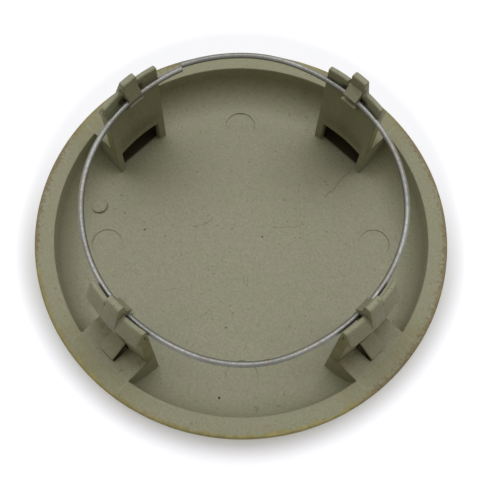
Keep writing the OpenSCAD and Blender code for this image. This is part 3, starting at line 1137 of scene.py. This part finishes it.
def add_camera(scene):
    """The camera, where the photograph was taken from."""
    data = bpy.data.cameras.new("camera")
    data.lens = CAMERA_LENS
    data.sensor_width = SENSOR
    data.clip_start = 0.01
    data.clip_end = 10
    camera = bpy.data.objects.new("camera", data)
    scene.collection.objects.link(camera)
    camera.matrix_world = (
        Matrix.Translation((0, 0, RIM_Z))
        @ Matrix.Rotation(CAMERA_TURN, 4, "Z")
        @ Matrix.Translation(Vector(CAMERA_PLACE) * CAD_BOX[1].x)
        @ Matrix.Rotation(-CAMERA_YAW, 4, "Z")
        @ Matrix.Rotation(math.pi / 2 - CAMERA_PITCH, 4, "X")
        @ Matrix.Rotation(CAMERA_ROLL, 4, "Z")
    )
    scene.camera = camera


FAR_SIDE = Vector((*on_circle(1, CAMERA_TURN + math.pi / 2), 0))
FLOOR_SIZE = 1.5
FLOOR_DROP = 0.02 * MM
FLOOR_COLOUR = (0.85, 0.86, 0.92)
# The floor's glow to the camera, which sets how far the shadow reaches: its colour, and how far
# its middle lies behind the cap's, in millimetres
GLOW_COLOUR = (0.97, 0.97, 1.1)
GLOW_BACK = 8
# Where the glow round the cap, behind it and far from it each begin and are whole, in
# millimetres, and how strong they are
GLOW_ROUND = (41.0, 49.5, 0.5)
GLOW_BEHIND = (-12.0, 15.0, 0.16)
GLOW_FAR = (90.0, 300.0, 0.6)
FILL_TINT = (1.0, 0.94, 0.6)
KEY_TINT = (0.96, 0.97, 1.0)
KEY_SIZE = (1.6, 0.7)
KEY_HEIGHT = math.radians(74)


def picked(tree, mask, first, second):
    """The second shader where a mask says, and the first elsewhere."""
    return joined(tree, "ShaderNodeMixShader", (mask, first, second))[0]


def add_floor():
    """A pale floor just under the cap, which isn't seen from below."""
    bm = bmesh.new()
    bmesh.ops.create_grid(bm, x_segments=1, y_segments=1, size=FLOOR_SIZE)
    bmesh.ops.translate(bm, verts=bm.verts, vec=(0, 0, -FLOOR_DROP))
    floor = to_object(bm, "floor")
    made, tree, shader, place = material("pale_floor")
    tree.nodes.remove(shader)
    middle = vector_math(tree, "SUBTRACT", place, GLOW_BACK * FAR_SIDE)[0]
    away = vector_math(tree, "LENGTH", middle)["Value"]
    depth = vector_math(tree, "DOT_PRODUCT", place, FAR_SIDE)["Value"]
    glow = 0.0
    for value, (none, whole, share) in zip(
        (away, depth, away), (GLOW_ROUND, GLOW_BEHIND, GLOW_FAR)
    ):
        glow = raised(tree, fade(tree, value, none, whole), share, glow)
    camera_only = add(tree, "ShaderNodeLightPath").outputs["Is Camera Ray"]
    glow = product(tree, glow, camera_only)
    lift = add(tree, "ShaderNodeEmission", Color=(*GLOW_COLOUR, 1), Strength=glow)
    diffuse = add(tree, "ShaderNodeBsdfDiffuse", Color=(*FLOOR_COLOUR, 1))
    both = joined(tree, "ShaderNodeAddShader", (diffuse.outputs[0], lift.outputs[0]))[0]
    behind = add(tree, "ShaderNodeNewGeometry").outputs["Backfacing"]
    clear = add(tree, "ShaderNodeBsdfTransparent")
    surface = picked(tree, behind, both, clear.outputs[0])
    tree.links.new(surface, tree.nodes["Material Output"].inputs["Surface"])
    floor.data.materials.append(made)
    floor.visible_diffuse = False
    floor.visible_glossy = False


def add_light(scene, power):
    """A wide soft light high up on the far side of the cap, aimed at it."""
    data = bpy.data.lights.new("key", "AREA")
    data.shape = "RECTANGLE"
    data.size, data.size_y = KEY_SIZE
    data.energy = power
    data.color = KEY_TINT
    lamp = bpy.data.objects.new("key", data)
    scene.collection.objects.link(lamp)
    flat, rise = on_circle(1, KEY_HEIGHT)
    toward = flat * FAR_SIDE + Vector((0, 0, rise))
    lamp.location = toward
    lamp.rotation_mode = "QUATERNION"
    lamp.rotation_quaternion = toward.to_track_quat("Z", "Y")


def add_world(scene, fill):
    """White for the camera and in reflections, and an even light from all sides otherwise."""
    world = bpy.data.worlds.new("studio")
    world.use_nodes = True
    tree = world.node_tree
    tree.nodes.clear()
    path = add(tree, "ShaderNodeLightPath")
    even = add(tree, "ShaderNodeBackground", Color=(*FILL_TINT, 1), Strength=fill)
    white = add(tree, "ShaderNodeBackground", Color=(1, 1, 1, 1), Strength=1)
    rays = ("Is Camera Ray", "Is Glossy Ray", "Is Transmission Ray")
    seen = highest(tree, *[path.outputs[ray] for ray in rays])
    surface = picked(tree, seen, even.outputs[0], white.outputs[0])
    output = add(tree, "ShaderNodeOutputWorld")
    tree.links.new(surface, output.inputs["Surface"])
    scene.world = world


class CENTRECAP_OT_stage(bpy.types.Operator):
    """Sets the floor, the light and the camera"""

    bl_idname = "centrecap.stage"
    bl_label = "Stage"

    def execute(self, context):
        scene = context.scene
        settings = scene.cap_stage
        scene.view_settings.view_transform = "Standard"
        add_camera(scene)
        add_floor()
        add_world(scene, settings.fill)
        add_light(scene, settings.key)
        return {"FINISHED"}


class CENTRECAP_PT_panel(bpy.types.Panel):
    """Lists the cap's pieces and their sizes"""

    bl_idname = "CENTRECAP_PT_panel"
    bl_label = "Centre Cap"
    bl_space_type = "VIEW_3D"
    bl_region_type = "UI"
    bl_category = "Centre Cap"

    def draw(self, context):
        layout = self.layout
        for operator in PIECES:
            layout.operator(operator.bl_idname)
        for holder in HOLDERS:
            box = layout.box()
            settings = getattr(context.scene, holder)
            for name in settings.__annotations__:
                box.prop(settings, name)


HOLDERS = {
    "cap_sizes": CapSizes,
    "wire_sizes": WireSizes,
    "cap_finishes": Finishes,
    "cap_stage": StageSettings,
}
PIECES = [CENTRECAP_OT_moulding, CENTRECAP_OT_wire, CENTRECAP_OT_stage]
CLASSES = [*HOLDERS.values(), *PIECES, CENTRECAP_PT_panel]


def register():
    for each in CLASSES:
        bpy.utils.register_class(each)
    for holder, kind in HOLDERS.items():
        setattr(bpy.types.Scene, holder, bpy.props.PointerProperty(type=kind))


def unregister():
    for holder in HOLDERS:
        delattr(bpy.types.Scene, holder)
    for each in reversed(CLASSES):
        bpy.utils.unregister_class(each)


def main():
    register()
    bpy.ops.centrecap.moulding()
    bpy.ops.centrecap.wire()
    bpy.ops.centrecap.stage()


if __name__ == "__main__":
    main()
